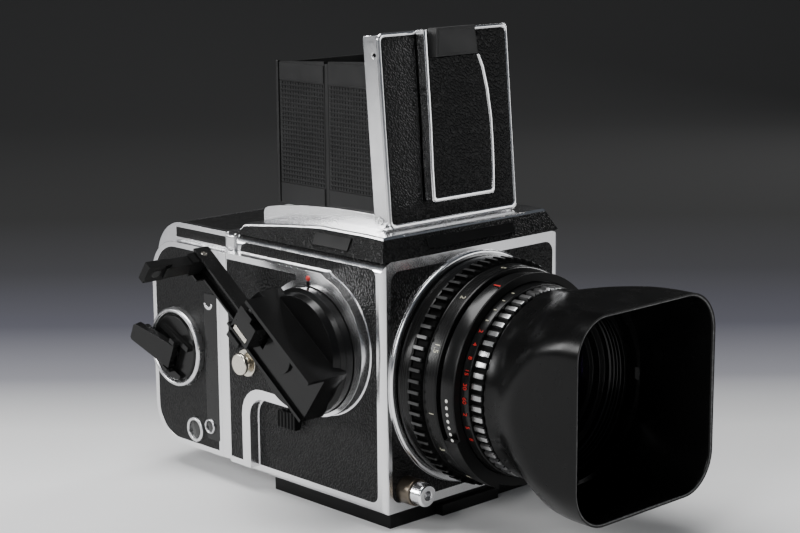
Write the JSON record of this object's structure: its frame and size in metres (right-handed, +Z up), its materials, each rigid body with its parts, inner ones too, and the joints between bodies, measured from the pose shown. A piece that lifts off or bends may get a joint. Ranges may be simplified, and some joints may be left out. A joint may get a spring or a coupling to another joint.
{
  "type": "medium format single lens reflex camera",
  "caption": "Boxy reflex camera with film magazine, open folding hood, winding crank, and a lens with a square shade, on a foot with a tripod socket.",
  "frame": {"origin": "mouth of the smaller tripod socket, in the underside of the foot", "axes": "+Z up through the hood, -Y the way the lens looks, -X the winding crank's side"},
  "size_m": [0.1387, 0.2012, 0.1679],
  "materials": {
    "body_shell": "chrome plated",
    "mirror_box": "black anodised",
    "body_leather": "grained",
    "winding_cover": "chrome plated",
    "winding_leather": "grained",
    "shoulder_cover": "grained",
    "shoulder_trim": "chrome plated",
    "blank_badges": "satin",
    "finder_base": "chrome plated",
    "focusing_screen": "ground",
    "lens_mount_ring": "bright",
    "foot_plate": "black anodised",
    "foot_screws": "brushed",
    "strap_studs": "bright",
    "release_socket": "satin black",
    "lens_barrel": "black anodised",
    "rear_element": "clear",
    "magazine_shell": "chrome plated",
    "magazine_frame": "chrome plated",
    "magazine_insert": "black anodised",
    "magazine_leather": "grained",
    "magazine_bezels": "bright",
    "mirror_carrier": "black anodised",
    "mirror_glass": "front silvered",
    "upper_flap": "satin black",
    "lower_flap": "satin black",
    "release_button": "bright",
    "mirror_release_slider": "satin black",
    "crank_shaft": "brushed",
    "crank_hub": "black anodised",
    "arm_pin": "brushed",
    "crank_arm": "satin black",
    "arm_fittings": "brushed",
    "crank_grip": "black",
    "grip_rivet": "satin black",
    "focus_ring": "black anodised",
    "front_barrel": "black anodised",
    "front_element": "coated",
    "aperture_blades": "blackened",
    "lens_shade": "black anodised",
    "speed_ring": "brushed",
    "aperture_ring": "black anodised",
    "depth_lever": "satin black",
    "lid_frame": "chrome plated",
    "lid_leather": "grained",
    "tongue_plate": "chrome plated",
    "lid_slide": "satin black",
    "magnifier_arm": "satin black",
    "magnifier_lens": "clear",
    "wall_front_left": "satin black",
    "wall_rear_left": "satin black",
    "wall_rear": "satin black",
    "wall_front_right": "satin black",
    "wall_rear_right": "satin black",
    "magazine_knob": "satin black",
    "knob_key": "satin black",
    "takeup_spool": "black",
    "supply_spool": "black",
    "dark_slide": "brushed",
    "magazine_catch": "bright"
  },
  "bodies": {
    "body": {"body_shell": "body_shell", "mirror_box": "mirror_box", "body_leather": "body_leather", "winding_cover": "winding_cover", "winding_leather": "winding_leather", "shoulder_cover": "shoulder_cover", "shoulder_trim": "shoulder_trim", "blank_badges": "blank_badges", "finder_base": "finder_base", "focusing_screen": "focusing_screen", "lens_mount_ring": "lens_mount_ring", "foot_plate": "foot_plate", "foot_screws": "foot_screws", "strap_studs": "strap_studs", "release_socket": "release_socket", "lens_barrel": "lens_barrel", "rear_element": "rear_element", "magazine_shell": "magazine_shell", "magazine_frame": "magazine_frame", "magazine_insert": "magazine_insert", "magazine_leather": "magazine_leather", "magazine_bezels": "magazine_bezels"},
    "mirror": {"mirror_carrier": "mirror_carrier", "mirror_glass": "mirror_glass"},
    "flap_upper": {"upper_flap": "upper_flap"},
    "flap_lower": {"lower_flap": "lower_flap"},
    "release": {"release_button": "release_button"},
    "pre_release": {"mirror_release_slider": "mirror_release_slider"},
    "crank": {"crank_shaft": "crank_shaft", "crank_hub": "crank_hub", "arm_pin": "arm_pin"},
    "arm": {"crank_arm": "crank_arm", "arm_fittings": "arm_fittings"},
    "grip": {"crank_grip": "crank_grip", "grip_rivet": "grip_rivet"},
    "focus": {"focus_ring": "focus_ring"},
    "lens_front": {"front_barrel": "front_barrel", "front_element": "front_element", "aperture_blades": "aperture_blades", "lens_shade": "lens_shade"},
    "speed": {"speed_ring": "speed_ring"},
    "aperture": {"aperture_ring": "aperture_ring"},
    "depth": {"depth_lever": "depth_lever"},
    "lid": {"lid_frame": "lid_frame", "lid_leather": "lid_leather", "tongue_plate": "tongue_plate"},
    "lid_catch": {"lid_slide": "lid_slide"},
    "magnifier": {"magnifier_arm": "magnifier_arm", "magnifier_lens": "magnifier_lens"},
    "leaf_front_left": {"wall_front_left": "wall_front_left"},
    "leaf_rear_left": {"wall_rear_left": "wall_rear_left"},
    "leaf_back": {"wall_rear": "wall_rear"},
    "leaf_front_right": {"wall_front_right": "wall_front_right"},
    "leaf_rear_right": {"wall_rear_right": "wall_rear_right"},
    "magazine_crank": {"magazine_knob": "magazine_knob"},
    "key": {"knob_key": "knob_key"},
    "takeup": {"takeup_spool": "takeup_spool"},
    "supply": {"supply_spool": "supply_spool"},
    "dark_slide": {"dark_slide": "dark_slide"},
    "catch": {"magazine_catch": "magazine_catch"}
  },
  "joints": [
    {"name": "mirror_swing", "type": "hinge", "parent": "body", "child": "mirror", "pos_m": [0, 0.034, 0.0846], "axis": [-1, 0, 0], "range_deg": [0, 44]},
    {"name": "upper_flap_swing", "type": "hinge", "parent": "body", "child": "flap_upper", "pos_m": [0, 0.0362, 0.0795], "axis": [-1, 0, 0], "range_deg": [0, 88]},
    {"name": "lower_flap_swing", "type": "hinge", "parent": "body", "child": "flap_lower", "pos_m": [0, 0.0362, 0.0217], "axis": [1, 0, 0], "range_deg": [0, 88]},
    {"name": "release_press", "type": "slide", "parent": "body", "child": "release", "axis": [0, 1, 0], "range_m": [0, 0.0028], "stiffness_N_per_m": 300},
    {"name": "mirror_release_slide", "type": "slide", "parent": "body", "child": "pre_release", "axis": [0, 0, 1], "range_m": [0, 0.0018]},
    {"name": "crank_turn", "type": "hinge", "parent": "body", "child": "crank", "pos_m": [-0.05, -0.0025, 0.0589], "axis": [1, 0, 0], "continuous": true},
    {"name": "crank_arm_fold", "type": "hinge", "parent": "crank", "child": "arm", "pos_m": [-0.0653, 0.01044, 0.06831], "axis": [0, -0.5878, 0.809], "range_deg": [0, 180]},
    {"name": "crank_grip_fold", "type": "hinge", "parent": "arm", "child": "grip", "pos_m": [-0.0646, 0.03552, 0.08653], "axis": [0, -0.5878, 0.809], "range_deg": [0, 90]},
    {"name": "focus_turn", "type": "hinge", "parent": "body", "child": "focus", "pos_m": [0, -0.045, 0.0506], "axis": [0, 1, 0], "range_deg": [0, 270]},
    {"name": "focus_travel", "type": "slide", "parent": "body", "child": "lens_front", "axis": [0, -1, 0], "range_m": [0, 0.0061]},
    {"name": "speed_turn", "type": "hinge", "parent": "lens_front", "child": "speed", "pos_m": [0, -0.0676, 0.0506], "axis": [0, 1, 0], "range_deg": [-60, 60]},
    {"name": "aperture_turn", "type": "hinge", "parent": "lens_front", "child": "aperture", "pos_m": [0, -0.0654, 0.0506], "axis": [0, 1, 0], "range_deg": [-45, 45]},
    {"name": "depth_lever_turn", "type": "hinge", "parent": "body", "child": "depth", "pos_m": [0, -0.0607, 0.0506], "axis": [0, 1, 0], "range_deg": [-12, 12]},
    {"name": "lid_fold", "type": "hinge", "parent": "body", "child": "lid", "pos_m": [0, -0.021, 0.104], "axis": [-1, 0, 0], "range_deg": [0, 85.36], "deforming": ["wall_front_left", "wall_rear_left", "wall_rear", "wall_front_right", "wall_rear_right"]},
    {"name": "lid_catch_slide", "type": "slide", "parent": "lid", "child": "lid_catch", "axis": [1, 0, 0], "range_m": [0, 0.003], "stiffness_N_per_m": 150},
    {"name": "magnifier_flip", "type": "hinge", "parent": "lid", "child": "magnifier", "pos_m": [0, -0.0185, 0.1594], "axis": [-1, 0, 0], "range_deg": [-90, 0]},
    {"name": "front_left_fold", "type": "hinge", "parent": "lid", "child": "leaf_front_left", "pos_m": [-0.0275, -0.0164, 0.13], "axis": [0, 0, -1], "range_deg": [0, 90]},
    {"name": "rear_left_fold", "type": "hinge", "parent": "leaf_front_left", "child": "leaf_rear_left", "pos_m": [-0.02865, 0.009, 0.13], "axis": [0, 0, 1], "range_deg": [0, 180]},
    {"name": "back_fold", "type": "hinge", "parent": "leaf_rear_left", "child": "leaf_back", "pos_m": [-0.0275, 0.0344, 0.13], "axis": [0, 0, -1], "range_deg": [0, 90]},
    {"name": "front_right_fold", "type": "hinge", "parent": "lid", "child": "leaf_front_right", "pos_m": [0.0275, -0.0164, 0.13], "axis": [0, 0, 1], "range_deg": [0, 90]},
    {"name": "rear_right_fold", "type": "hinge", "parent": "leaf_front_right", "child": "leaf_rear_right", "pos_m": [0.02865, 0.009, 0.13], "axis": [0, 0, -1], "range_deg": [0, 180]},
    {"name": "magazine_crank_turn", "type": "hinge", "parent": "body", "child": "magazine_crank", "pos_m": [-0.049, 0.0723, 0.047], "axis": [1, 0, 0], "continuous": true},
    {"name": "key_fold", "type": "hinge", "parent": "magazine_crank", "child": "key", "pos_m": [-0.0523, 0.071, 0.0448], "axis": [0, -0.4067, 0.9135], "range_deg": [0, 150]},
    {"name": "takeup_turn", "type": "hinge", "parent": "body", "child": "takeup", "pos_m": [0, 0.069, 0.069], "axis": [1, 0, 0], "continuous": true},
    {"name": "supply_turn", "type": "hinge", "parent": "body", "child": "supply", "pos_m": [0, 0.069, 0.03], "axis": [1, 0, 0], "continuous": true},
    {"name": "dark_slide_pull", "type": "slide", "parent": "body", "child": "dark_slide", "axis": [1, 0, 0], "range_m": [0, 0.07]},
    {"name": "magazine_catch_slide", "type": "slide", "parent": "body", "child": "catch", "axis": [1, 0, 0], "range_m": [0, 0.003], "stiffness_N_per_m": 150}
  ],
  "couplings": [
    {"joint": "upper_flap_swing", "follows": "mirror_swing", "ratio": 2},
    {"joint": "lower_flap_swing", "follows": "mirror_swing", "ratio": 2},
    {"joint": "crank_grip_fold", "follows": "crank_arm_fold", "ratio": 0.5},
    {"joint": "focus_travel", "follows": "focus_turn", "m_per_rad": 0.0012732},
    {"joint": "front_left_fold", "follows": "lid_fold", "ratio": 1.0544},
    {"joint": "rear_left_fold", "follows": "lid_fold", "ratio": 2.1087},
    {"joint": "back_fold", "follows": "lid_fold", "ratio": 1.0544},
    {"joint": "front_right_fold", "follows": "lid_fold", "ratio": 1.0544},
    {"joint": "rear_right_fold", "follows": "lid_fold", "ratio": 2.1087},
    {"joint": "takeup_turn", "follows": "magazine_crank_turn", "ratio": -0.81667},
    {"joint": "supply_turn", "follows": "magazine_crank_turn", "ratio": -0.7}
  ]
}
